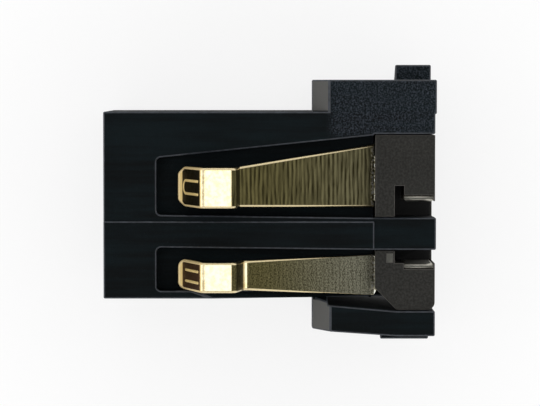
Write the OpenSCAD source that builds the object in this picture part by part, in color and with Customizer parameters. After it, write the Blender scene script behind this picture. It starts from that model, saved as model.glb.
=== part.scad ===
// Small low-voltage power jack for a 2.0 mm plug, with two spring contacts on its board side.
//
// It lies on its flat roof: +Z is the board side, where the springs stand up, and the plug goes
// in from -Y. Inside the modules the mouth face is y = 0, the roof is z = 0 and the middle of the
// block is x = 0. The last lines move the whole jack so that the middle of its footprint is the
// origin. Two moulded pieces, a turned pin and two stamped contacts make up the jack.

/* [Housing block] */
// Width of the block, side to side
body_w = 3.76; // [3.3:0.01:4.6]
// Length of the block, mouth face to rear face
body_l = 6.67; // [5.5:0.01:8.1]
// Height of the block, roof to board face
body_h = 3.5; // [3.4:0.01:4.3]
// Radius of the two long edges of the roof
roof_edge_r = 0.4; // [0.1:0.05:0.8]
// Height of the raised land beside the middle line of the board face
land_rise = 0.03; // [0.01:0.01:0.1]

/* [Plug bore] */
// Diameter of the guide that holds the plug
bore_d = 2.15; // [1.8:0.01:2.6]
// Thickness of the block's left wall beside the chamber
side_wall = 0.26; // [0.1:0.01:0.4]
// Wall between the guide and the floors of the spring slots
guide_wall = 0.145; // [0.1:0.005:0.2]
// Width of the chamfer at the mouth
mouth_chamfer = 0.185; // [0.05:0.005:0.3]
// Depth of the guide, from the mouth face
guide_l = 1.45; // [0.6:0.05:2]
// How much wider than the guide the chamber behind it is, on the radius
chamber_relief = 0.165; // [0.16:0.005:0.2]
// Wall between the chamber and the floors of the spring slots
chamber_roof = 0.12; // [0.08:0.01:0.3]
// Thickness of the wall at the end of the bore
end_wall = 0.3; // [0.2:0.05:0.6]

/* [Window over the bore's end] */
// Width of the window at the roof
window_foot_w = 1.36; // [1.1:0.01:1.6]
// Width of the window at its far edge
window_top_w = 0.95; // [0.85:0.01:1.2]
// Height of the window's far edge over the roof
window_top_z = 1.03; // [0.95:0.01:1.15]
// Radius of the window's corners
window_corner_r = 0.1; // [0.05:0.01:0.2]
// Length of the channel that lets the barrel spring move, from the end wall forwards
channel_l = 1.55; // [1.4:0.05:2.5]

/* [Spring slots] */
// Distance of the slots from the mouth face
slot_front = 1.07; // [0.8:0.01:1.3]
// Clearance between a spring's root and the floor of its slot
root_gap = 0.05; // [0.02:0.01:0.1]
// Room between a spring's wide root and the fallen wall under it
root_clear = 0.07; // [0.03:0.01:0.12]
// Room beside the tip of a spring
slot_gap_tip = 0.17; // [0.03:0.01:0.2]
// Room beside the root of a spring
slot_gap_root = 0.19; // [0.05:0.01:0.2]
// Radius of the slots' front corners
slot_corner_r = 0.09; // [0.03:0.01:0.15]
// Thickness of the wall outside the narrow slot
slot_wall = 0.16; // [0.12:0.01:0.25]
// Where the top of that wall starts to fall towards the rear
relief_start = 2.2; // [1.8:0.1:2.6]
// How much the fallen wall also leans in towards the slot, in degrees
relief_lean = 25; // [5:1:35]

/* [Rear pocket] */
// Length of the pocket that holds the contact carrier
pocket_l = 1.22; // [1:0.01:1.5]
// Thickness of the roof under the carrier
pocket_floor = 0.34; // [0.3:0.01:0.5]
// Thickness of the side wall by the snap arm
pocket_wall = 0.18; // [0.15:0.01:0.25]
// How far the inner side of the narrow slot runs in towards the rear
slot_taper = 0.05; // [0:0.01:0.1]
// Depth of the rib between the carrier's two top faces
rib_h = 0.47; // [0.3:0.01:0.6]
// How far the rib stands out behind the rear face
rib_overhang = 0.02; // [0.02:0.01:0.2]
// Distance of the land's edge from the rib's left side
land_inset = 0.07; // [0.02:0.01:0.2]

/* [Side lug and snap arm] */
// Length of both, from the rear face forwards
side_l = 2.47; // [2:0.01:3]
// Thickness of the fixed lug
lug_w = 0.58; // [0.4:0.01:0.8]
// How far the fixed lug stands out behind the rear face
lug_overhang = 0.03; // [0:0.01:0.3]
// Thickness of the snap arm
arm_w = 0.45; // [0.35:0.01:0.7]
// Gap between the block and the snap arm at its root
arm_gap = 0.13; // [0.12:0.01:0.3]
// How far the snap arm spreads outwards from root to free end
arm_spread = 0.12; // [0:0.01:0.25]
// Length of the web that joins the snap arm to the block
arm_web_l = 0.32; // [0.25:0.01:0.6]
// Length of the straight free end of the snap arm
arm_straight_l = 0.77; // [0.5:0.01:1]
// Width and depth of the notch between the web and the block, at the board side
web_notch_size = [0.1, 0.35]; // [0.05:0.01:0.5]
// Height at which the foot of the lug and the arm begins
foot_z = 2.69; // [2.4:0.01:3]
// How far the foot stands out in front and at the side
foot_proud = 0.06; // [0.02:0.01:0.15]
// Height and length of the chamfer at the front of the foot
foot_chamfer = [0.36, 0.42]; // [0.2:0.01:0.5]
// Height of the chamfer at the roof end of the lug and the arm
side_chamfer = 0.49; // [0.2:0.01:0.8]
// Radius of the outer roof edge of the lug and the arm
side_edge_r = 0.29; // [0.1:0.01:0.4]
// How far the catch stands out on the lug and on the arm
catch_proud = [0.37, 0.28]; // [0.15:0.01:0.4]
// Height of the catch's flat face over the roof
catch_z = 1.88; // [1.6:0.01:2.2]
// Height of the catch
catch_h = 0.54; // [0.3:0.01:0.8]
// Thickness of the catch at its outer edge
catch_edge = 0.06; // [0.03:0.01:0.15]
// Length of the catch on the fixed lug
lug_catch_l = 0.74; // [0.4:0.01:1]
// Distance of that catch from the lug's rear end
lug_catch_back = 0.02; // [0.02:0.01:0.3]
// Length of the catch on the snap arm
arm_catch_l = 1.0; // [0.5:0.01:1.2]
// Distance of that catch from the arm's rear end
arm_catch_back = 0.03; // [0.03:0.01:0.3]

/* [Contact strip] */
// Thickness of the strip that both contacts are stamped from
strip_t = 0.12; // [0.1:0.01:0.15]
// Inner radius of the bends
bend_r = 0.03; // [0.03:0.01:0.12]
// Height of the spring crests over the board face
crest_rise = 0.93; // [0.7:0.01:1.2]
// Distance of the spring tips from the mouth face
tip_y = 1.5; // [1.3:0.01:1.7]
// Length of the flat lip at the tip
tip_lip = 0.14; // [0.1:0.01:0.2]
// How much the lip rises from its edge to the slope
lip_rise = 0.02; // [0:0.01:0.05]
// Room under the lip, over the floor of the slot
tip_clear = 0.38; // [0.2:0.01:0.45]
// Length of the slope between the lip and the crest
tip_slope = 0.38; // [0.3:0.01:0.5]
// Length of the crest
crest_l = 0.62; // [0.4:0.01:0.8]
// Depth of the spring's root below the board face
root_depth = 0.38; // [0.36:0.01:0.42]
// Slope of the long back of the spring, in degrees
back_slope = 14.5; // [12:0.5:18]
// Distance of the contacts' upright plates behind the end wall
plate_back = 0.25; // [0.2:0.01:0.4]
// Distance between the two raised rims on the wide and on the narrow spring's tip
rim_spread = [0.26, 0.22]; // [0.15:0.01:0.35]
// Radius of the rims, which is also their height
rim_r = 0.03; // [0.02:0.005:0.05]
// Distance of the straight part of the rims from the lip and from the crest
rim_margins = [0.26, 0.09]; // [0.08:0.01:0.4]
// Distance of the contacts' tails behind the middle of the upright plates
tail_setback = 0.29; // [0.2:0.01:0.4]
// How far the tails end short of the rear face
tail_inset = 0.03; // [0.01:0.01:0.1]
// Height of the tails' lower edge over the bore's axis
tail_foot_rise = 0.4; // [0.35:0.01:0.6]
// How deep the tails' step lies below the notches that show them
tail_cover = 0.1; // [0.05:0.01:0.2]

/* [Centre contact] */
// Width of the wide spring at its crest
wide_tip_w = 0.80; // [0.5:0.01:0.9]
// How much the wide spring widens at its root, on its left and right edges
wide_root_flare = [0.44, 0.04]; // [0:0.01:0.5]
// Length of the foot of the riser behind the wide spring's crest
wide_riser_l = 0.05; // [0.05:0.01:0.3]
// Size of the cut corners at the wide spring's tip
tip_cut = 0.13; // [0.05:0.01:0.2]
// Height of the lower edge of the upright plate, over the window
plate_over_window = 0.12; // [0.05:0.01:0.2]
// How far the upright plate reaches to the left of the bore's axis
plate_reach = 0.6; // [0.35:0.01:0.7]
// Distance of the tail to the right of the bore's axis
tail_offset = 0.18; // [0.1:0.01:0.25]

/* [Barrel contact] */
// Width of the narrow spring at its crest
narrow_tip_w = 0.60; // [0.4:0.01:0.7]
// How much the narrow spring widens at its root, on its left and right edges
narrow_root_flare = [0.07, 0.15]; // [0:0.01:0.2]
// Room between the narrow spring's tip and the outer wall of its slot
narrow_tip_gap = 0.03; // [0.02:0.01:0.1]
// Length of the foot of the riser behind the narrow spring's crest
narrow_riser_l = 0.15; // [0.1:0.01:0.3]
// Length of the level step below that riser, without the bend at its start
narrow_step_l = 0.03; // [0.02:0.01:0.2]
// Radius of the rounded corners at the narrow spring's tip
tip_round = 0.15; // [0.05:0.01:0.25]
// Width of the blade that presses on the plug's barrel
nose_w = 0.80; // [0.6:0.01:0.84]
// How far the blade's nose stands into the plug's way
nose_proud = 0.225; // [0.1:0.005:0.25]
// Distance of the blade's rear bend, its nose and its free end in front of the end wall
blade_bends = [0.15, 0.53, 0.98]; // [0.1:0.01:1.2]
// Height of the blade's free end over its foot
blade_end_rise = 0.06; // [0:0.01:0.2]
// Width of the upright strap
strap_w = 0.48; // [0.35:0.01:0.6]
// Distance of the strap from the pocket's side wall
strap_inset = 0.05; // [0.03:0.01:0.1]
// Length over which the spring's root narrows to the strap
strap_neck = 0.1; // [0.05:0.01:0.2]
// Distance of the cross strap's front and rear edges behind the upright plates
cross_strap = [0.1, 0.54]; // [0.1:0.01:0.7]
// Width of the hook beside the strap
hook_w = 0.17; // [0.1:0.01:0.25]
// Slit between the hook and the strap
hook_slit = 0.02; // [0.01:0.01:0.05]
// Depth of the hook's link to the strap under the root, and the link's height
hook_link = [0.75, 0.35]; // [0.1:0.01:0.9]

/* [Centre pin] */
// Diameter of the pin
pin_d = 0.5; // [0.4:0.01:0.55]
// Distance of the pin's tip from the mouth face
pin_tip = 1.5; // [1.5:0.05:2.2]
// Radius of the dome on the pin's tip
pin_dome_r = 0.34; // [0.28:0.01:0.8]
// Diameter of the collar at the pin's root
pin_collar_d = 0.86; // [0.82:0.01:0.95]
// How far the collar stands out in front of the end wall
collar_proud = 0.13; // [0.05:0.01:0.3]
// Diameter of the riveted shank
pin_shank_d = 0.32; // [0.2:0.01:0.4]
// Diameter and thickness of the rivet head
pin_head = [0.6, 0.1]; // [0.08:0.01:0.7]

/* [Contact carrier] */
// Clearance between the carrier and the housing
carrier_gap = 0.02; // [0.01:0.01:0.05]
// How far the carrier's top faces lie below the board face
carrier_drop = 0.08; // [0.04:0.01:0.15]
// Depth of the notches by the contact tails
notch_depth = 1.1; // [0.3:0.01:1.1]
// Distance of the notches behind the end wall
notch_back = 0.41; // [0.39:0.01:0.6]
// Width of the notch by the centre contact's tail
notch_w = 0.34; // [0.2:0.01:0.4]
// How far the front of that notch runs on past the tail
notch_hook = 0.31; // [0.2:0.01:0.4]
// Room beside the barrel contact's hook, in its notch
hook_room = 0.15; // [0.05:0.01:0.2]
// Radius of the carrier's free corner
carrier_corner_r = 0.15; // [0.05:0.01:0.25]

/* [Hidden] */
$fn = 96;
arc_steps = 6;      // flats in one rounded corner of an outline
far = 20;           // longer than the jack, for cuts that run right through
lap = 0.05;         // how far joined shapes of one piece run into each other

// Block and bore
half_w = body_w / 2;
board_z = body_h - land_rise;
bore_r = bore_d / 2;
chamber_r = bore_r + chamber_relief;
slot_floor = body_h - root_depth - strip_t - root_gap;
bore_x = side_wall + chamber_r - half_w;
bore_z = slot_floor - guide_wall - bore_r;
pocket_y = body_l - pocket_l;
bore_end = pocket_y - end_wall;
window_slant = (window_foot_w - window_top_w) / (window_top_z - pocket_floor);

// Springs
root_z = body_h - root_depth - strip_t / 2;
crest_z = body_h + crest_rise - strip_t / 2;
lip_z = slot_floor + tip_clear + strip_t / 2;
lip_y = tip_y + tip_lip;
crest_y = lip_y + tip_slope;
crest_end = crest_y + crest_l;
wide_back_y = crest_end + wide_riser_l;
narrow_foot_y = crest_end + narrow_riser_l;
narrow_back_y = narrow_foot_y + narrow_step_l + bend_r + strip_t / 2;
plate_y = pocket_y + plate_back + strip_t / 2;
tail_front = plate_y + tail_setback;
tail_rear = body_l - tail_inset;
tail_foot = bore_z + tail_foot_rise;
top_z = body_h - carrier_drop;

// Wide spring, over the bore
wide_left = bore_x - wide_tip_w / 2;
wide_right = bore_x + wide_tip_w / 2;
wide_root_left = wide_left - wide_root_flare[0];
wide_root_right = wide_right + wide_root_flare[1];
tail_left = bore_x + tail_offset;
plate_left = bore_x - plate_reach;

// Narrow spring, by the snap arm's side of the block
narrow_slot_right = half_w - slot_wall;
narrow_right = narrow_slot_right - narrow_tip_gap;
narrow_left = narrow_right - narrow_tip_w;
narrow_mid = (narrow_left + narrow_right) / 2;
narrow_root_left = narrow_left - narrow_root_flare[0];
narrow_root_right = narrow_right + narrow_root_flare[1];
narrow_slot_left = narrow_left - slot_gap_tip - narrow_root_flare[0];
strap_right = half_w - pocket_wall - strap_inset;
strap_left = strap_right - strap_w;
hook_left = strap_left - hook_slit - hook_w;

// Rear pocket and the rib over it
pocket_left = wide_root_left - slot_gap_root - carrier_gap;
pocket_right = half_w - pocket_wall;
rib_left = wide_root_right + slot_gap_root;
rib_right = narrow_slot_left + slot_taper;
rib_z = board_z - rib_h;
wall_top = root_z - strip_t / 2 - root_clear;

// Lug and arm
side_front = body_l - side_l;
side_rear = body_l + lug_overhang;
arm_root_x = half_w + arm_gap;
arm_free_x = arm_root_x + arm_spread;
arm_bend_y = body_l - arm_straight_l;

// The box of the whole jack
left_end = -half_w - lug_w - catch_proud[0];
right_end = arm_free_x + arm_w + catch_proud[1];

// Direction from one point to another, in degrees
function heading(a, b) = atan2(b[1] - a[1], b[0] - a[0]);
// Turn from one direction to another, between -180 and 180
function turn(h0, h1) = let (d = h1 - h0) d > 180 ? d - 360 : d < -180 ? d + 360 : d;
// Unit vectors along and to the left of a direction
function ahead(h) = [cos(h), sin(h)];
function left(h) = [-sin(h), cos(h)];
function unit(v) = v / norm(v);

// An outline's corner b between its neighbours a and c, as an arc of radius r that touches both sides
function corner(a, b, c, r) =
    r <= 0 ? [b] :
    let (u = unit(a - b), v = unit(c - b), half = acos(u * v) / 2,
         middle = b + unit(u + v) * r / sin(half),
         h0 = heading(middle, b + u * r / tan(half)),
         sweep = turn(h0, heading(middle, b + v * r / tan(half))))
    [for (k = [0:arc_steps]) middle + r * ahead(h0 + sweep * k / arc_steps)];

// A closed outline whose corner i is rounded to radii[i]
function rounded(points, radii) =
    let (n = len(points))
    [for (i = [0:n - 1]) each corner(points[(i + n - 1) % n], points[i], points[(i + 1) % n], radii[i])];

// Stations [point, direction] along an open path. Corner i is rounded to radius r on the middle line
function stations(path, r) = concat(
    [[path[0], heading(path[0], path[1])]],
    [for (i = [1:len(path) - 2])
        let (h0 = heading(path[i - 1], path[i]), dh = turn(h0, heading(path[i], path[i + 1])),
             side = sign(dh), centre = path[i] - r * tan(abs(dh) / 2) * ahead(h0) + side * r * left(h0))
        each [for (k = [0:arc_steps]) let (h = h0 + dh * k / arc_steps) [centre - side * r * left(h), h]]],
    [[path[len(path) - 1], heading(path[len(path) - 2], path[len(path) - 1])]]);

// Side view of a bent strip: its middle line offset by half its thickness to both sides
module strip(path) {
    line = stations(path, bend_r + strip_t / 2);
    polygon(concat([for (s = line) s[0] + left(s[1]) * strip_t / 2],
                   [for (i = [len(line) - 1:-1:0]) line[i][0] - left(line[i][1]) * strip_t / 2]));
}

// Extrudes a side view, drawn in (y, z), from x0 to x1
module across(x0, x1) translate([x0, 0, 0]) rotate([90, 0, 90]) linear_extrude(x1 - x0) children();
// Extrudes a front view, drawn in (x, z), from y0 to y1
module along(y0, y1) translate([0, y1, 0]) rotate([90, 0, 0]) linear_extrude(y1 - y0) children();
// Extrudes a plan, drawn in (x, y), from z0 to z1
module upright(z0, z1) translate([0, 0, z0]) linear_extrude(z1 - z0) children();
// A box between two corners
module block(low, high) translate(low) cube(high - low);
// A round bar or hole on the bore's axis, from y0 to y1
module on_axis(r0, r1, y0, y1)
    translate([bore_x, y0, bore_z]) rotate([-90, 0, 0]) cylinder(h = y1 - y0, r1 = r0, r2 = r1);

// ---- Housing: one black moulding ----

// Front view of the block: square at the board side, rounded at the roof
module block_view() {
    translate([-half_w, roof_edge_r]) square([body_w, body_h - roof_edge_r]);
    translate([roof_edge_r - half_w, 0]) square([body_w - 2 * roof_edge_r, body_h]);
    for (side = [-1, 1]) translate([side * (half_w - roof_edge_r), roof_edge_r]) circle(roof_edge_r);
}

// Chamfered mouth, plug guide and the wider chamber, which is flat under the wide spring's slot
module plug_bore() {
    on_axis(bore_r + mouth_chamfer + lap, bore_r, -lap, mouth_chamfer);
    on_axis(bore_r, bore_r, mouth_chamfer - lap, guide_l + lap);
    intersection() {
        on_axis(chamber_r, chamber_r, guide_l, bore_end);
        block([-far, 0, 0], [far, far, slot_floor - chamber_roof]);
    }
    on_axis(pin_collar_d / 2 + carrier_gap, pin_collar_d / 2 + carrier_gap, bore_end - lap, pocket_y + lap);
}

// Front view of the window under the barrel spring, open to the pocket's floor
module window_view(low) {
    foot = window_foot_w + (pocket_floor - low) * window_slant;
    polygon(rounded([[bore_x - foot / 2, low], [bore_x + foot / 2, low],
                     [bore_x + window_top_w / 2, window_top_z], [bore_x - window_top_w / 2, window_top_z]],
                    [0, 0, window_corner_r, window_corner_r]));
}

// Slots that the springs lie in, open behind to the pocket
module spring_slots() {
    upright(slot_floor, body_h + lap) {
        polygon(rounded([[wide_left - slot_gap_tip, slot_front], [wide_right + slot_gap_tip, slot_front],
                         [wide_root_right + slot_gap_root, pocket_y + lap],
                         [wide_root_left - slot_gap_root, pocket_y + lap]],
                        [slot_corner_r, slot_corner_r, 0, 0]));
        polygon(rounded([[narrow_slot_left, slot_front], [narrow_slot_right, slot_front],
                         [narrow_slot_right, pocket_y + lap], [rib_right, pocket_y + lap]],
                        [slot_corner_r, slot_corner_r, 0, 0]));
    }
}

// The outer wall of the narrow slot falls to the rear, clear of the spring's wide root, and leans in
module wall_relief() {
    run = pocket_y - relief_start;
    fall = atan((body_h - wall_top) / run);
    intersection() {
        block([narrow_slot_right - lap, 0, 0], [half_w, far, far]);
        union() {
            translate([half_w, relief_start, body_h])
                rotate([-fall, 0, 0]) rotate([0, -relief_lean, 0]) translate([-far, -far, 0]) cube(2 * far);
            block([0, pocket_y - lap, wall_top], [far, far, far]);
        }
    }
}

// Side view shared by the lug and the arm: chamfered at the roof, with a foot at the board side
module side_view(rear, foot) {
    front = side_front + foot;
    polygon([[front + side_chamfer, 0], [front, side_chamfer], [front, foot_z], [side_front, foot_z],
             [side_front, body_h - foot_chamfer[1]], [side_front + foot_chamfer[0], body_h],
             [rear, body_h], [rear, 0]]);
}

// Front view of a lug or arm from x0 to x1, with its outer roof edge rounded
module side_front_view(x0, x1) {
    points = [[x0, 0], [x1, 0], [x1, foot_z], [x1 + sign(x1 - x0) * foot_proud, foot_z],
              [x1 + sign(x1 - x0) * foot_proud, body_h], [x0, body_h]];
    polygon(rounded(points, [0, side_edge_r, 0, 0, 0, 0]));
}

// A catch: a wedge that slopes towards the roof and is flat towards the board
module catch(x, side, proud, y0, y1) {
    along(y0, y1)
        polygon([[x - side * lap, catch_z - catch_h - lap], [x, catch_z - catch_h],
                 [x + side * proud, catch_z - catch_edge], [x + side * proud, catch_z],
                 [x - side * lap, catch_z]]);
}

module fixed_lug() {
    intersection() {
        across(-half_w - lug_w - foot_proud, -half_w + lap) side_view(side_rear, foot_proud);
        along(side_front - lap, side_rear + lap) side_front_view(-half_w + lap, -half_w - lug_w);
    }
    catch_rear = side_rear - lug_catch_back;
    catch(-half_w - lug_w, -1, catch_proud[0], catch_rear - lug_catch_l, catch_rear);
}

// Plan of the arm: it leans out from its root and runs straight beside the carrier
module arm_plan(grow) {
    polygon([[arm_root_x - lap, side_front - lap], [arm_root_x, side_front + arm_web_l],
             [arm_free_x, arm_bend_y], [arm_free_x, body_l],
             [arm_free_x + arm_w + grow, body_l], [arm_free_x + arm_w + grow, arm_bend_y],
             [arm_root_x + arm_w + grow, side_front - lap]]);
}

// The snap arm is joined to the block by a web at its front and is free behind it
module snap_arm() {
    right = arm_free_x + arm_w;
    catch_rear = body_l - arm_catch_back;
    intersection() {
        across(half_w - lap, right + foot_proud) side_view(body_l, foot_proud);
        along(side_front - lap, body_l + lap) side_front_view(half_w - lap, right);
        union() {
            upright(-lap, body_h + lap) arm_plan(0);
            upright(foot_z, body_h + lap) arm_plan(foot_proud);
            block([half_w - lap, side_front - lap, -lap],
                  [arm_root_x + lap, side_front + arm_web_l, body_h + lap]);
        }
    }
    catch(right, 1, catch_proud[1], catch_rear - arm_catch_l, catch_rear);
}

// The joint between web and block opens in a narrow notch at the board side
module web_notch() {
    along(side_front - lap, side_front + arm_web_l + lap)
        polygon([[half_w, body_h - web_notch_size[1]], [half_w + web_notch_size[0], body_h + lap],
                 [half_w, body_h + lap]]);
}

module housing() {
    color("#1b1f23") {
        difference() {
            union() {
                along(0, body_l) block_view();
                fixed_lug();
                snap_arm();
            }
            plug_bore();
            along(pocket_y - channel_l - end_wall, pocket_y + lap) window_view(pocket_floor);
            spring_slots();
            wall_relief();
            web_notch();
            block([pocket_left, pocket_y, pocket_floor], [pocket_right, side_rear + lap, body_h + lap]);
            // Everything but the land beside the narrow slot is a little lower
            block([-far, -lap, board_z], [rib_left + land_inset, far, body_h + lap]);
        }
        block([rib_left, pocket_y - lap, rib_z], [rib_right, body_l + rib_overhang, board_z]);
    }
}

// ---- Contacts: stamped from one strip, bent and plated ----

// Height of a spring's back at y
function back_z(y) = root_z + (pocket_y - y) * tan(back_slope);

// Side view of a spring: tip and crest, then the points of its riser's foot, then its root and upright
// plate, which runs down to plate_z
function spring_path(foot, plate_z) =
    concat([[tip_y, lip_z], [lip_y, lip_z + lip_rise], [crest_y, crest_z], [crest_end, crest_z]], foot,
           [[pocket_y, root_z], [plate_y, root_z], [plate_y, plate_z]]);

// Half-round rims on the slope of a spring's tip: two straight ones, whose lower ends meet in a U if joined
module tip_rims(x, spread, joined) {
    slope = heading([lip_y, lip_z], [crest_y, crest_z]);
    low_y = rim_margins[0];
    high_y = norm([crest_y - lip_y, crest_z - lip_z]) - rim_margins[1];
    translate([x, lip_y, lip_z]) rotate([slope, 0, 0]) translate([0, 0, strip_t / 2]) {
        for (side = [-1, 1]) translate([side * spread / 2, low_y, 0]) {
            rotate([-90, 0, 0]) cylinder(h = high_y - low_y, r = rim_r);
            translate([0, high_y - low_y, 0]) sphere(rim_r);
            if (!joined) sphere(rim_r);
        }
        if (joined) intersection() {
            translate([0, low_y, 0]) rotate_extrude() translate([spread / 2, 0]) circle(rim_r);
            block([-spread, low_y - spread, -spread], [spread, low_y, spread]);
        }
    }
}

// The tail rises behind the upright plate and ends level with the carrier's top
module tail(x) {
    step_z = body_h - notch_depth - tail_cover;
    across(x, x + strip_t)
        polygon([[plate_y, tail_foot], [tail_rear, tail_foot], [tail_rear, top_z], [tail_front, top_z],
                 [tail_front, step_z], [plate_y, step_z]]);
}

// Wide spring, the plate that the pin is riveted to, and the tail beside the rivet
module centre_strip() {
    plate_foot = window_top_z + plate_over_window;
    difference() {
        union() {
            intersection() {
                across(wide_root_left, wide_root_right)
                    strip(spring_path([[wide_back_y, back_z(wide_back_y)]], plate_foot));
                upright(0, far) polygon([
                    [wide_left + tip_cut, tip_y], [wide_right - tip_cut, tip_y],
                    [wide_right, tip_y + tip_cut], [wide_right, wide_back_y],
                    [wide_root_right, pocket_y],
                    [tail_left + strip_t, pocket_y], [tail_left + strip_t, far],
                    [plate_left, far], [plate_left, pocket_y], [wide_root_left, pocket_y],
                    [wide_left, wide_back_y], [wide_left, tip_y + tip_cut]]);
            }
            tail(tail_left);
        }
        on_axis(pin_shank_d / 2, pin_shank_d / 2, plate_y - strip_t, plate_y + strip_t);
    }
}

module centre_contact() {
    color("#d8b45a") {
        centre_strip();
        tip_rims(bore_x, rim_spread[0], true);
    }
}

// Narrow spring, upright strap, hook and tail, cross strap and the blade under the plug
module barrel_strip() {
    plate_front = plate_y - strip_t / 2;
    plate_rear = plate_y + strip_t / 2;
    strap_z = pocket_floor + carrier_gap + strip_t / 2;
    strap_rear = plate_y + cross_strap[1];
    nose_z = bore_z - bore_r + nose_proud - strip_t / 2;
    intersection() {
        across(hook_left, narrow_root_right)
            strip(concat(spring_path([[narrow_foot_y, back_z(narrow_back_y)],
                                      [narrow_back_y, back_z(narrow_back_y)]], strap_z),
                         [[strap_rear, strap_z]]));
        upright(0, far) polygon(rounded([
            [narrow_left, tip_y], [narrow_right, tip_y], [narrow_right, narrow_back_y],
            [narrow_root_right, pocket_y], [strap_right, pocket_y + strap_neck], [strap_right, far],
            [strap_left, far], [strap_left, pocket_y + strap_neck], [narrow_root_left, pocket_y],
            [narrow_left, narrow_back_y]],
            [tip_round, tip_round, 0, 0, 0, 0, 0, 0, 0, 0]));
    }
    // Upright hook beside the bend, which shows in the carrier's notch, and its link to the strap
    hook_foot = [hook_left, plate_front, root_z - hook_link[0] - hook_link[1]];
    block(hook_foot, [hook_left + hook_w, plate_rear, top_z]);
    block(hook_foot, [strap_left + lap, plate_rear, root_z - hook_link[0]]);
    tail(strap_left);
    // Cross strap on the pocket's floor, and the blade that reaches forward over the bore
    block([bore_x - nose_w / 2, plate_y + cross_strap[0], strap_z - strip_t / 2],
          [strap_left + lap, strap_rear, strap_z + strip_t / 2]);
    across(bore_x - nose_w / 2, bore_x + nose_w / 2)
        strip([[plate_y + cross_strap[0] + lap, strap_z], [bore_end - blade_bends[0], strap_z],
               [bore_end - blade_bends[1], nose_z], [bore_end - blade_bends[2], strap_z + blade_end_rise]]);
}

module barrel_contact() {
    color("#d8b45a") {
        barrel_strip();
        tip_rims(narrow_mid, rim_spread[1], false);
    }
}

// ---- Centre pin: turned, with a collar and a riveted shank ----

// Half profile of the pin, radius across and length up, starting at the tip
module pin_profile() {
    dome_l = pin_dome_r - sqrt(pin_dome_r * pin_dome_r - pin_d * pin_d / 4);
    collar_y = bore_end - collar_proud - pin_tip;
    plate_front = plate_y - strip_t / 2 - pin_tip;
    intersection() {
        translate([0, pin_dome_r]) circle(pin_dome_r);
        square([pin_d / 2, pin_dome_r]);
    }
    translate([0, dome_l]) square([pin_d / 2, collar_y - dome_l + lap]);
    translate([0, collar_y]) square([pin_collar_d / 2, plate_front - collar_y]);
    translate([0, plate_front - lap]) square([pin_shank_d / 2, strip_t + 2 * lap]);
    translate([0, plate_front + strip_t]) square([pin_head[0] / 2, pin_head[1]]);
}

module centre_pin() {
    color("#b8865a") translate([bore_x, pin_tip, bore_z]) rotate([-90, 0, 0]) rotate_extrude() pin_profile();
}

// ---- Contact carrier: a brown-black moulding round both contacts and the pin's root ----

// Notches that leave the contact tails free on one side
module tail_notches() {
    y0 = pocket_y + notch_back;
    z0 = body_h - notch_depth;
    tail_right = tail_left + strip_t;
    block([tail_right, y0, z0], [tail_right + notch_w, far, far]);
    block([tail_left - notch_hook + strip_t, y0, z0], [tail_right + lap, tail_front, far]);
    block([hook_left - hook_room, y0, z0], [strap_left, far, far]);
}

module contact_carrier() {
    front = pocket_y + carrier_gap;
    left_x = pocket_left + carrier_gap;
    right_x = pocket_right - carrier_gap;
    shelf_z = wall_top + carrier_gap;
    shoulder_x = arm_free_x - carrier_gap;
    color("#3a3732") difference() {
        union() {
            block([left_x, front, pocket_floor + carrier_gap], [right_x, body_l, rib_z - carrier_gap]);
            block([left_x, front, rib_z - carrier_gap - lap], [rib_left - carrier_gap, body_l, top_z]);
            upright(shelf_z, top_z) polygon(rounded([
                [rib_right + carrier_gap, front], [right_x, front],
                [shoulder_x, front + shoulder_x - right_x], [shoulder_x, body_l],
                [rib_right + carrier_gap, body_l]],
                [0, 0, 0, carrier_corner_r, 0]));
        }
        tail_notches();
        along(front - lap, far) window_view(0);
        centre_strip();
        barrel_strip();
        centre_pin();
    }
}

module placed() translate([-(left_end + right_end) / 2, -side_rear / 2, 0]) children();

placed() housing();
placed() contact_carrier();
placed() centre_pin();
placed() centre_contact();
placed() barrel_contact();
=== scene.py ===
# Looks of a small barrel power jack: two plastic mouldings, a turned pin and two gold-plated
# contacts. The jack lies on its flat roof. +Z is the board side, the plug goes in from -Y, and +X
# is the snap arm's side.

import bmesh
import bpy
import numpy as np
from mathutils import Matrix, Vector


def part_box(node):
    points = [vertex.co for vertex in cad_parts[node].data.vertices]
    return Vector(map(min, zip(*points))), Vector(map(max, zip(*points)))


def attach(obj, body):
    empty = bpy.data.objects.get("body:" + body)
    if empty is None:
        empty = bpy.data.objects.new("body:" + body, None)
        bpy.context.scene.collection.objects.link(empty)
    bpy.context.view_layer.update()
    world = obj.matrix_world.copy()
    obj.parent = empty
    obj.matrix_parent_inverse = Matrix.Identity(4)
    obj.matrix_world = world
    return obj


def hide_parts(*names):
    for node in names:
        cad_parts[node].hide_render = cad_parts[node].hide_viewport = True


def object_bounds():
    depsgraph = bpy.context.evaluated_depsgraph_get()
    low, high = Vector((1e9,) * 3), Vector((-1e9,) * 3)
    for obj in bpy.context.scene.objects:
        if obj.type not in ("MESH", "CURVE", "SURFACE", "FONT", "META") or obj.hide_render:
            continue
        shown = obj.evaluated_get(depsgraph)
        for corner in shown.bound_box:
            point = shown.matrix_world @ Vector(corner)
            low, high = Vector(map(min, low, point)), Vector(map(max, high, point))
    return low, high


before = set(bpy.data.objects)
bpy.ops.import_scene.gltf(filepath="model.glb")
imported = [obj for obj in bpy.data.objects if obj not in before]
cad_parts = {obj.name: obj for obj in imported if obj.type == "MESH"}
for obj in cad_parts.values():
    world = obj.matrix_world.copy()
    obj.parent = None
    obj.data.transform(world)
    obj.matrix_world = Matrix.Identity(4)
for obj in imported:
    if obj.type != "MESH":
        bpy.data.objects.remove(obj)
cad_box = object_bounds()

# ---- Housing ----
# The black block is one injection moulding of glass-filled nylon. Its outer faces come from a
# spark-eroded mould, so they are finely grained, and every edge is very slightly rounded, which
# is what catches light. A pair of lengths below is the start and the end of a ramp.

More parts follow.
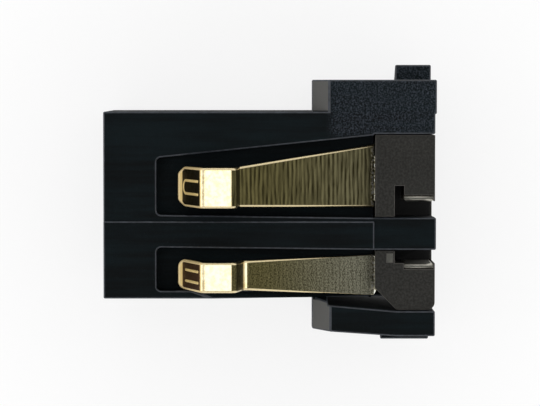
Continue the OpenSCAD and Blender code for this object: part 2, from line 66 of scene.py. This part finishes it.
MM = 0.001
MOULD_EDGE = 0.03 * MM                  # radius that the mould leaves on the housing's edges
EDGE_ANGLE = np.radians(25)             # an edge that turns by more than this is rounded
FLAT_ANGLE = np.radians(0.3)            # triangles that turn by less are one flat face
SAME_POINT = 0.0001 * MM                # points closer than this are one
HOUSING_BLACK = (0.0014, 0.0038, 0.0048)
HOUSING_SPECKLE = (0.050, 0.060, 0.076)
HOUSING_EDGE_HIGHLIGHT = (0.045, 0.052, 0.064)
FOOT_PAINTED_LIGHT = (0.108, 0.107, 0.102)       # painted light on the slanted fronts that face the board side
ROOF_PAINTED_LIGHT = (0.050, 0.052, 0.054)       # dimmer painted light on the slanted fronts that face the roof side
MOUTH_GREY = (0.036, 0.035, 0.033)
SPARK_PIT = 0.035 * MM                  # size of the pits that the sparks leave
SPARK_DEPTH = 0.007 * MM
ROUGH_SIDE = (-1.52 * MM, -1.32 * MM)   # the rough patch reaches from the lug to here along X ...
ROUGH_FRONT = (1.10 * MM, 1.35 * MM)    # ... and begins here along Y
BLOCK_SIDE = (1.90 * MM, 1.93 * MM)     # beyond this distance from the middle are lug and arm
BORE_AXIS = (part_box("centre_pin")[0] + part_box("centre_pin")[1]) / 2     # the pin stands on it
FRONT_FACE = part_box("housing")[0].y
MOUTH_DEPTH = (FRONT_FACE + 0.18 * MM, FRONT_FACE + 0.20 * MM)
MOUTH_RADIUS = (1.257 * MM, 1.269 * MM)


class Value:
    """A shader socket as a number: arithmetic on it adds Math nodes to its material."""

    def __init__(self, finish, socket):
        self.finish, self.socket = finish, socket

    def math(self, operation, *inputs):
        return self.finish.node("ShaderNodeMath", {"operation": operation}, dict(enumerate(inputs)))

    def __add__(self, other):
        return self.math("ADD", self, other)

    def __sub__(self, other):
        return self.math("SUBTRACT", self, other)

    def __rsub__(self, other):
        return self.math("SUBTRACT", other, self)

    def __mul__(self, other):
        return self.math("MULTIPLY", self, other)

    def __abs__(self):
        return self.math("ABSOLUTE", self)

    __radd__, __rmul__ = __add__, __mul__

    def ramp(self, start, end):
        """0 below start, 1 above end, and a smooth step between them."""
        return self.finish.node("ShaderNodeMapRange", {"interpolation_type": "SMOOTHSTEP"},
                                {"Value": self, "From Min": start, "From Max": end})


class Finish:
    """A material whose constants sit on its shader and whose pattern is built with node()."""

    MIX_MASK, MIX_LOW, MIX_HIGH, MIX_RESULT = 0, 6, 7, 2    # the Mix node's sockets for colours

    def __init__(self, name, **constants):
        self.material = bpy.data.materials.new(name)
        self.material.use_nodes = True
        self.tree = self.material.node_tree
        self.shader = self.tree.nodes["Principled BSDF"]
        for socket, value in constants.items():
            self.shader.inputs[socket.replace("_", " ")].default_value = value

    def node(self, kind, settings=None, inputs=None, output=0):
        """Adds a node: its settings first, then a value or a link for each socket in inputs."""
        made = self.tree.nodes.new(kind)
        for key, value in (settings or {}).items():
            setattr(made, key, value)
        for key, value in (inputs or {}).items():
            self.put(made.inputs[key], value)
        return Value(self, made.outputs[output])

    def put(self, socket, value):
        if isinstance(value, Value):
            self.tree.links.new(value.socket, socket)
        else:
            socket.default_value = value

    def place(self, stretch=(1, 1, 1)):
        """Object coordinates, stretched along each axis."""
        point = self.node("ShaderNodeTexCoord", output="Object")
        return self.node("ShaderNodeMapping", None, {"Vector": point, "Scale": stretch})

    def axis(self, name):
        point = self.node("ShaderNodeTexCoord", output="Object")
        return self.node("ShaderNodeSeparateXYZ", None, {0: point}, name)

    def facing(self, name):
        """How far the surface faces along an axis of the object, from -1 to 1."""
        normal = self.node("ShaderNodeTexCoord", output="Normal")
        return self.node("ShaderNodeSeparateXYZ", None, {0: normal}, name)

    def bore_radius(self):
        """Distance from the bore's axis."""
        x, z = self.axis("X") - BORE_AXIS.x, self.axis("Z") - BORE_AXIS.z
        return self.node("ShaderNodeMath", {"operation": "SQRT"}, {0: x * x + z * z})

    def grain(self, size, detail=3.0, stretch=(1, 1, 1)):
        """Noise between 0 and 1 whose features are about size metres across."""
        return self.node("ShaderNodeTexNoise", None,
                         {"Vector": self.place(stretch), "Scale": 1 / size, "Detail": detail})

    def blend(self, mask, low, high):
        """The colour low where mask is 0 and high where it is 1."""
        return self.node("ShaderNodeMix", {"data_type": "RGBA"},
                         {self.MIX_MASK: mask, self.MIX_LOW: colour(low),
                          self.MIX_HIGH: colour(high)}, self.MIX_RESULT)

    def wear(self, **patterns):
        """Links the patterns to the shader's own sockets."""
        for socket, value in patterns.items():
            self.put(self.shader.inputs[socket.replace("_", " ")], value)

    def relief(self, height, depth):
        """A surface that rises by depth metres where height goes from 0 to 1."""
        bump = self.node("ShaderNodeBump", None,
                         {"Height": height, "Distance": depth, "Strength": 1.0})
        self.wear(Normal=bump)


def colour(value):
    return value if isinstance(value, Value) else (*value, 1.0)


def shade(rgb, factor):
    """The colour rgb, each part of it times factor."""
    return tuple(factor * part for part in rgb)


def rounded_copy(node, name, radius, material, edge, segments=3, sharp=None):
    """The CAD node's own mesh with its points merged, its flat faces whole and its edges rounded.

    It replaces the node and keeps its size, because rounding only takes material away. The
    rounded edges have a material of their own. An edge for which sharp(start, end) is true stays
    as the CAD has it.
    """
    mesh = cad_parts[node].data.copy()
    mesh.materials.clear()
    mesh.materials.append(material)
    mesh.materials.append(edge)
    made = bmesh.new()
    made.from_mesh(mesh)
    bmesh.ops.remove_doubles(made, verts=made.verts, dist=SAME_POINT)
    bmesh.ops.dissolve_limit(made, angle_limit=FLAT_ANGLE, verts=made.verts, edges=made.edges)
    weight = made.edges.layers.float.new("bevel_weight_edge")
    for line in made.edges:
        if len(line.link_faces) == 2 and line.is_convex:
            start, end = (vert.co for vert in line.verts)
            kept = sharp is not None and sharp(start, end)
            line[weight] = float(line.calc_face_angle() > EDGE_ANGLE and not kept)
    made.to_mesh(mesh)
    made.free()
    piece = bpy.data.objects.new(name, mesh)
    bpy.context.scene.collection.objects.link(piece)
    bevel = piece.modifiers.new("edges", "BEVEL")
    bevel.width, bevel.segments = radius, segments
    bevel.limit_method, bevel.use_clamp_overlap = "WEIGHT", False
    bevel.material = 1
    flat = piece.modifiers.new("flat_faces", "WEIGHTED_NORMAL")
    flat.weight, flat.keep_sharp = 100, True
    mesh.shade_smooth()
    mesh.set_sharp_from_angle(angle=EDGE_ANGLE)
    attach(piece, "root")
    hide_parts(node)


black = Finish("black_moulding", Specular_IOR_Level=0.1)
spark = black.grain(SPARK_PIT, 4.0)
# Marks along Y where the nylon flowed as it filled the mould, broad ones and fine ones
flow = 0.5 * black.grain(0.9 * MM, 2.0, (1, 0.35, 1)) \
    + 0.5 * black.grain(0.11 * MM, 3.0, (1, 0.06, 1))
rough = (1 - black.axis("X").ramp(*ROUGH_SIDE)) * black.axis("Y").ramp(*ROUGH_FRONT)
fleck = black.grain(SPARK_PIT, 5.0).ramp(0.36, 0.8) * rough
# The slanted fronts of the lug and the arm, and the mouth's chamfer, are smoother and paler; the
# slanted fronts' paleness is painted light, stronger where they face the board side than the roof
beside = abs(black.axis("X")).ramp(*BLOCK_SIDE)
slant = beside * abs(black.facing("Z")).ramp(0.3, 0.4) * (1 - black.facing("Y").ramp(-0.4, -0.3))
slant_painted_light = black.blend(black.facing("Z").ramp(-0.1, 0.1), ROOF_PAINTED_LIGHT, FOOT_PAINTED_LIGHT)
mouth = (1 - black.bore_radius().ramp(*MOUTH_RADIUS)) * (1 - black.axis("Y").ramp(*MOUTH_DEPTH))
nylon = black.blend(flow.ramp(0.35, 0.65), shade(HOUSING_BLACK, 0.5), shade(HOUSING_BLACK, 1.7))
nylon = black.blend(fleck, nylon, HOUSING_SPECKLE)
nylon = black.blend(mouth, nylon, MOUTH_GREY)
black.wear(Base_Color=black.blend(slant, nylon, slant_painted_light),
           Roughness=0.64 + 0.16 * spark - 0.06 * flow - 0.22 * slant - 0.15 * mouth)
black.relief(0.5 * spark + fleck, SPARK_DEPTH)

# The rounded edges are painted paler than the faces, as a painted highlight varied by a grain
black_edge = Finish("black_moulding_edge", Specular_IOR_Level=0.4)
edge_sheen = black_edge.grain(0.12 * MM)
edge_highlight_grey = black_edge.blend(edge_sheen.ramp(0.3, 0.7), shade(HOUSING_EDGE_HIGHLIGHT, 0.5), HOUSING_EDGE_HIGHLIGHT)
black_edge.wear(Base_Color=edge_highlight_grey, Roughness=0.34 + 0.2 * edge_sheen)
rounded_copy("housing", "housing_moulding", MOULD_EDGE, black.material, black_edge.material)

# ---- Contact carrier ----
# A second, browner moulding made round the contacts and the pin's root, then pushed into the
# housing's rear. It comes from a polished mould, so it is smoother than the housing, and its
# fibres show as a fine speckle.

CARRIER_ROUND = 0.010 * MM
CARRIER_BROWN = (0.008, 0.0076, 0.006)
CARRIER_PALE = (0.036, 0.035, 0.031)
CARRIER_EDGE_HIGHLIGHT = (0.11, 0.10, 0.088)
CARRIER_NOTCH_SHADE = (0.003, 0.003, 0.003)
CARRIER_GRAIN = 0.002 * MM              # depth of its grain
NOTCH_FLOOR = (2.9 * MM, 3.3 * MM)      # Z, and Y at both ends, of the notches beside the rib
NOTCH_FRONT = (2.45 * MM, 2.5 * MM)
NOTCH_REAR = (3.25 * MM, 3.30 * MM)

brown = Finish("brown_moulding", Specular_IOR_Level=0.2)
streak = brown.grain(0.4 * MM, 3.0, (1, 0.4, 1))
satin = brown.grain(0.03 * MM)
fibre = brown.grain(0.045 * MM, 4.0).ramp(0.35, 0.7)
# Down in the notches the moulding is painted near black, as painted shade
notch_shade = (1 - brown.axis("Z").ramp(*NOTCH_FLOOR)) * (1 - brown.axis("Y").ramp(*NOTCH_REAR)) \
    * brown.axis("Y").ramp(*NOTCH_FRONT)
face = brown.blend(0.4 * streak + 0.6 * fibre, CARRIER_BROWN, CARRIER_PALE)
brown.wear(Base_Color=brown.blend(notch_shade, face, CARRIER_NOTCH_SHADE), Roughness=0.54 + 0.16 * satin)
brown.relief(satin, CARRIER_GRAIN)

# The rounded edges are painted pale, as a painted highlight varied by a grain
brown_edge = Finish("brown_moulding_edge", Specular_IOR_Level=0.4)
carrier_edge_sheen = brown_edge.grain(0.1 * MM)
brown_edge.wear(Base_Color=brown_edge.blend(carrier_edge_sheen, CARRIER_PALE, CARRIER_EDGE_HIGHLIGHT),
                Roughness=0.34 + 0.2 * carrier_edge_sheen)
rounded_copy("contact_carrier", "carrier_moulding", CARRIER_ROUND, brown.material,
             brown_edge.material)

# ---- Centre pin ----
# Turned from brass rod and thinly plated, then riveted into the centre contact's plate. The tool
# leaves rings round it, and the plating is worn where the plug slides.

# The pin's colours are painted dark, as painted shade in the bore
PIN_COPPER_SHADED = (0.12, 0.07, 0.045)
PIN_WORN_SHADED = (0.24, 0.16, 0.10)
COLLAR_SHADE_BROWN = (0.030, 0.017, 0.010)
COLLAR_START = (0.255 * MM, 0.274 * MM)     # from the axis, just outside the pin
RING_PITCH = 0.05 * MM
RING_DEPTH = 0.003 * MM

turned = Finish("pin_metal", Metallic=1.0)
rings = turned.grain(RING_PITCH, 2.0, (0.1, 1, 0.1))
slid = turned.blend(turned.grain(0.3 * MM), PIN_COPPER_SHADED, PIN_WORN_SHADED)
# The collar is painted darker still, as painted shade deep in the bore
collar = turned.bore_radius().ramp(*COLLAR_START)
turned.wear(Base_Color=turned.blend(collar, slid, COLLAR_SHADE_BROWN),
            Roughness=0.12 + 0.12 * rings + 0.3 * collar)
turned.relief(rings, RING_DEPTH)
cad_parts["centre_pin"].data.materials.clear()
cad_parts["centre_pin"].data.materials.append(turned.material)

# ---- Contacts ----
# Both contacts are stamped from one rolled copper-alloy strip, bent and gold plated. Rolling and
# bending leave fine ribs across the backs of the springs, while the crests and the sheared edges
# stay smooth and bright. The carrier is moulded round their roots.

STRIP_EDGE = 0.045 * MM
STRIP_SEGMENTS = 4
GOLD = (0.80, 0.65, 0.36)
GOLD_PALE = (1.0, 0.90, 0.63)
GOLD_BACK_SHADE = (0.155, 0.135, 0.055)
GOLD_VALLEY_SHADE = (0.018, 0.015, 0.006)
GOLD_ROOT = (0.27, 0.265, 0.20)
GOLD_RIM_HIGHLIGHT = (0.74, 0.55, 0.22)
SHEARED_GOLD = (0.72, 0.58, 0.32)
SHEARED_PALE = (0.95, 0.82, 0.52)
TIP_EDGE_HIGHLIGHT = (0.78, 0.60, 0.30)
SHEARED_GREY = (0.13, 0.13, 0.115)
SHEARED_EDGE = (0.62, 0.60, 0.52)
BURR_GREY = (0.58, 0.58, 0.52)
INSIDE_SHADE_DARK = (0.020, 0.016, 0.012)
RIB_PITCH = 0.083 * MM
RIB_DEPTH = 0.0018 * MM
ROOT_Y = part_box("contact_carrier")[0].y     # the springs enter the carrier's front here
ROOT_WALL = (ROOT_Y, ROOT_Y + 0.1 * MM)
BURR_START = (ROOT_Y - 0.09 * MM, ROOT_Y - 0.06 * MM)
TAIL_START = (ROOT_Y + 0.1 * MM, ROOT_Y + 0.18 * MM)
CREST_END = -0.71 * MM                      # where the crests bend down to the backs
BACK_START = (CREST_END - 0.06 * MM, CREST_END - 0.04 * MM)
PALER = (-0.4 * MM, ROOT_Y)                 # the backs get paler over this length
LEDGE_START = (-0.54 * MM, -0.52 * MM)      # the level step behind the narrow spring's riser
LEDGE_END = (-0.47 * MM, -0.45 * MM)
TIP_END = -1.33 * MM                        # where the tip's slope meets the crest
TIP_START = (TIP_END - 0.06 * MM, TIP_END)
TIP_EDGE_START = (TIP_END - 0.04 * MM, TIP_END + 0.02 * MM)
SLOPE = np.arctan2(0.96, 0.38)              # of the tip, against the board
SLOPE_POINT = (-1.7658 * MM, 3.4321 * MM)   # Y and Z of a point on the slope's upper side
RIM_START = (0.004 * MM, 0.012 * MM)        # distance from the slope at which the rims begin
BOARD_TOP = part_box("housing")[1].z
BACK_HEIGHT = (BOARD_TOP - 0.7 * MM, BOARD_TOP - 0.5 * MM)
INSIDE_TOP = (2.3 * MM, 2.5 * MM)           # below this a strip stands inside the jack


def strip_finish(name, regular, step, slope_shade):
    """Gold whose back is ribbed, evenly where regular is 1 and as irregular grain where it is 0.

    step is 1 for the spring that has a level step behind its riser, and 0 for the other.
    """
    gold = Finish(name, Metallic=1.0)
    along, height = gold.axis("Y"), gold.axis("Z")
    # Ribs along X whose spacing wanders, mixed with finer streaks, and short specks between them
    wander = gold.grain(0.3 * MM, 2.0, (0.5, 1, 0)) * (5 + 5 * (1 - regular))
    wave = gold.node("ShaderNodeMath", {"operation": "SINE"},
                     {0: along * (2 * np.pi / RIB_PITCH) + wander})
    streaks = gold.grain(0.05 * MM, 3.0, (0.1, 1, 0)).ramp(0.32, 0.68)
    specks = gold.grain(0.018 * MM, 2.0, (0.55, 1, 0)).ramp(0.36, 0.64)
    ribs = (0.5 * (0.5 * wave + 0.5) + 0.5 * streaks) * regular + specks * (1 - regular)
    # Where the ribs are: on the back, from the crest to the carrier, but not on the step or a burr
    tail = along.ramp(*TAIL_START)
    outside = 1 - along.ramp(*ROOT_WALL)
    burr = along.ramp(*BURR_START) * gold.grain(0.06 * MM).ramp(0.42, 0.6) * outside
    ledge = along.ramp(*LEDGE_START) * (1 - along.ramp(*LEDGE_END)) * step
    back = along.ramp(*BACK_START) * outside * height.ramp(*BACK_HEIGHT)
    ribbed = back * (1 - burr) * (1 - ledge)
    # How far a point stands above the plane of the tip's slope, along that plane's normal
    above = (along - SLOPE_POINT[0]) * -np.sin(SLOPE) + (height - SLOPE_POINT[1]) * np.cos(SLOPE)
    off_slope = abs(above).ramp(*RIM_START)
    on_tip = 1 - along.ramp(*TIP_START)
    # The board's pads rub the crests: paler spots, and shallow dents that break up a reflection
    rubbed = gold.grain(0.09 * MM, 4.0).ramp(0.3, 0.7)
    smooth = gold.blend(burr, gold.blend(rubbed, GOLD, GOLD_PALE), BURR_GREY)
    smooth = gold.blend(tail, smooth, SHEARED_GREY)
    # On the tip the slope is painted dark, as painted shade, and the rims round it are light gold
    # made less metallic, as painted highlights lit by the lamp above
    smooth = gold.blend(on_tip, smooth, gold.blend(off_slope, slope_shade, GOLD_RIM_HIGHLIGHT))
    # Towards the root the back gets paler and greyer, most of all on the narrow spring
    paler = along.ramp(*PALER) * (0.25 + 0.75 * step)
    # The backs are painted dull and dark, as the shade they reflect, and darkest in the rib
    # valleys, as painted shade
    rolled_and_shaded = gold.blend(ribs, GOLD_VALLEY_SHADE, gold.blend(paler, GOLD_BACK_SHADE, GOLD_ROOT))
    # What stands inside the jack is painted dark, as painted shade
    inside_in_shade = 1 - height.ramp(*INSIDE_TOP)
    gold.wear(Base_Color=gold.blend(inside_in_shade, gold.blend(ribbed, smooth, rolled_and_shaded), INSIDE_SHADE_DARK),
              Roughness=0.22 + 0.14 * ribbed + 0.42 * tail + 0.25 * on_tip
              + 0.14 * rubbed * (1 - ribbed),
              Metallic=1 - 0.75 * on_tip * off_slope)
    gold.relief(ribs * ribbed + 0.5 * rubbed * (1 - ribbed), RIB_DEPTH)
    return gold.material


def bend_or_hidden(start, end):
    """True for a strip's bends, which the CAD has rounded, and for what the carrier hides."""
    front, rear = min(start.y, end.y), max(start.y, end.y)
    bend = front > TIP_END + 0.1 * MM and abs(start.x - end.x) > 0.98 * (start - end).length
    return bend or (front > ROOT_Y - 0.06 * MM and rear < ROOT_Y + 0.48 * MM)


# The sheared edges are brighter than the faces. Round the tip the edges are painted light gold and
# made less metallic, as painted highlights
gold_edge = Finish("gold_edge", Specular_IOR_Level=0.5)
sheared = gold_edge.grain(0.05 * MM, 3.0, (1, 1, 0.2))
tail_edge = gold_edge.axis("Y").ramp(*TAIL_START)
tip_edge_lit = 1 - gold_edge.axis("Y").ramp(*TIP_EDGE_START)
bright = gold_edge.blend(sheared, SHEARED_GOLD, SHEARED_PALE)
bright = gold_edge.blend(tip_edge_lit, bright, TIP_EDGE_HIGHLIGHT)
# Inside the jack the edges are painted dark too, as painted shade
bright = gold_edge.blend(1 - gold_edge.axis("Z").ramp(*INSIDE_TOP), bright, INSIDE_SHADE_DARK)
gold_edge.wear(Base_Color=gold_edge.blend(tail_edge, bright, SHEARED_EDGE),
               Roughness=0.22 + 0.14 * sheared + 0.1 * tail_edge + 0.2 * tip_edge_lit,
               Metallic=1 - 0.75 * tip_edge_lit)

# The last colour of each is the painted shade on its tip's slope
wide = strip_finish("gold_wide", 1.0, 0.0, (0.018, 0.014, 0.006))
narrow = strip_finish("gold_narrow", 0.3, 1.0, (0.085, 0.045, 0.022))
for node, name, gold in (("centre_contact", "centre_contact_strip", wide),
                         ("barrel_contact", "barrel_contact_strip", narrow)):
    rounded_copy(node, name, STRIP_EDGE, gold, gold_edge.material, STRIP_SEGMENTS,
                 bend_or_hidden)

# ---- Floor, light and camera ----
# The jack lies on a plain pale table that runs up into a round wall, under a soft lamp, with a
# softbox towards its front and a dim white room all round.

FLAT, WALL = 0.20, 0.38                     # radius of the table's flat part and of the wall
WALL_TOP = 0.32
INNER_RINGS = (0.012, 0.05, 0.12)
TURNS, CURVE_STEPS = 96, 17
TABLE_GAP = 0.002 * MM                      # under the jack, so that the two never share a plane
TABLE_PALE = (0.9, 0.9, 0.9, 1.0)
WHITE = (1, 1, 1, 1)
NEAR_GLOW = 0.82                            # how much of the white shows near the jack's shadow ...
GLOW_REACH = (3 * MM, 9 * MM)               # ... and the distance over which it becomes whole
ROOM_LIGHT = 0.63
LAMPS = (("lamp", (-0.005, 0, 0.30), 0.24, 0.18),       # name, place, diameter and watts
         ("softbox", (0, -0.30, 0.075), 0.10, 0.14))
VIEW_DISTANCE = 0.05
TILT = np.radians(2.8)
FILL = 0.68                                 # part of the picture's height that the jack takes
PICTURE = (540, 406)
SENSOR = 36                                 # width in millimetres, as the lens is given

low, high = (Vector(corner) for corner in cad_box)
middle = (low + high) / 2

# The table's profile: flat, then a quarter of a circle that ends upright at the wall
turn = np.linspace(0, np.pi / 2, CURVE_STEPS)
radius = np.concatenate([INNER_RINGS, FLAT + (WALL - FLAT) * np.sin(turn), [WALL]])
height = np.concatenate([np.zeros(len(INNER_RINGS)), (WALL - FLAT) * (1 - np.cos(turn)),
                         [WALL_TOP]])
bearing = np.linspace(0, 2 * np.pi, TURNS, endpoint=False)
points = np.stack([radius[:, None] * np.cos(bearing), radius[:, None] * np.sin(bearing),
                   height[:, None] + 0 * bearing], -1).reshape(-1, 3)
points = np.vstack([points, [[0, 0, 0]]]) - [0, 0, TABLE_GAP]
faces = [(r * TURNS + t, (r + 1) * TURNS + t,
          (r + 1) * TURNS + (t + 1) % TURNS, r * TURNS + (t + 1) % TURNS)
         for r in range(len(radius) - 1) for t in range(TURNS)]
faces += [(len(points) - 1, t, (t + 1) % TURNS) for t in range(TURNS)]
table = bpy.data.meshes.new("table")
table.from_pydata(points.tolist(), [], faces)
table.shade_smooth()
floor = bpy.data.objects.new("floor", table)
bpy.context.scene.collection.objects.link(floor)

# The table shows white to the camera, also in a reflection, and keeps the jack's shadow
pale = Finish("pale_table", Base_Color=TABLE_PALE, Roughness=0.9, Specular_IOR_Level=0.0)
seen = pale.node("ShaderNodeLightPath", output="Is Camera Ray") \
    + pale.node("ShaderNodeLightPath", output="Is Glossy Ray") \
    + pale.node("ShaderNodeLightPath", output="Is Transmission Ray")
away = pale.node("ShaderNodeVectorMath", {"operation": "LENGTH"}, {0: pale.place()}, 1)
glow = pale.node("ShaderNodeEmission", None, {"Color": WHITE, "Strength": 1.0})
white_part = seen * (NEAR_GLOW + (1 - NEAR_GLOW) * away.ramp(*GLOW_REACH))
both = pale.node("ShaderNodeMixShader", None,
                 {0: white_part, 1: Value(pale, pale.shader.outputs[0]), 2: glow})
pale.put(pale.tree.nodes["Material Output"].inputs["Surface"], both)
table.materials.append(pale.material)

world = bpy.data.worlds.new("room")
bpy.context.scene.world = world
world.use_nodes = True
world.node_tree.nodes["Background"].inputs["Color"].default_value = WHITE
world.node_tree.nodes["Background"].inputs["Strength"].default_value = ROOM_LIGHT

for name, place, size, watts in LAMPS:
    lamp = bpy.data.objects.new(name, bpy.data.lights.new(name, "AREA"))
    lamp.data.shape, lamp.data.size, lamp.data.energy = "DISK", size, watts
    lamp.location = place
    lamp.rotation_euler = (-Vector(place)).to_track_quat("-Z", "Y").to_euler()
    bpy.context.scene.collection.objects.link(lamp)

back = Vector((-np.sin(TILT), 0, np.cos(TILT)))
right = Vector((0, 1, 0))
up = back.cross(right)
camera = bpy.data.objects.new("camera", bpy.data.cameras.new("camera"))
camera.matrix_world = Matrix.Translation(middle + back * VIEW_DISTANCE) \
    @ Matrix((right, up, back)).transposed().to_4x4()
frame_width = (high.x - low.x) / FILL * PICTURE[0] / PICTURE[1]
camera.data.sensor_width = SENSOR
camera.data.lens = SENSOR * VIEW_DISTANCE / frame_width
camera.data.clip_start, camera.data.clip_end = 0.001, 10
bpy.context.scene.collection.objects.link(camera)
bpy.context.scene.camera = camera
bpy.context.scene.view_settings.view_transform = "Standard"
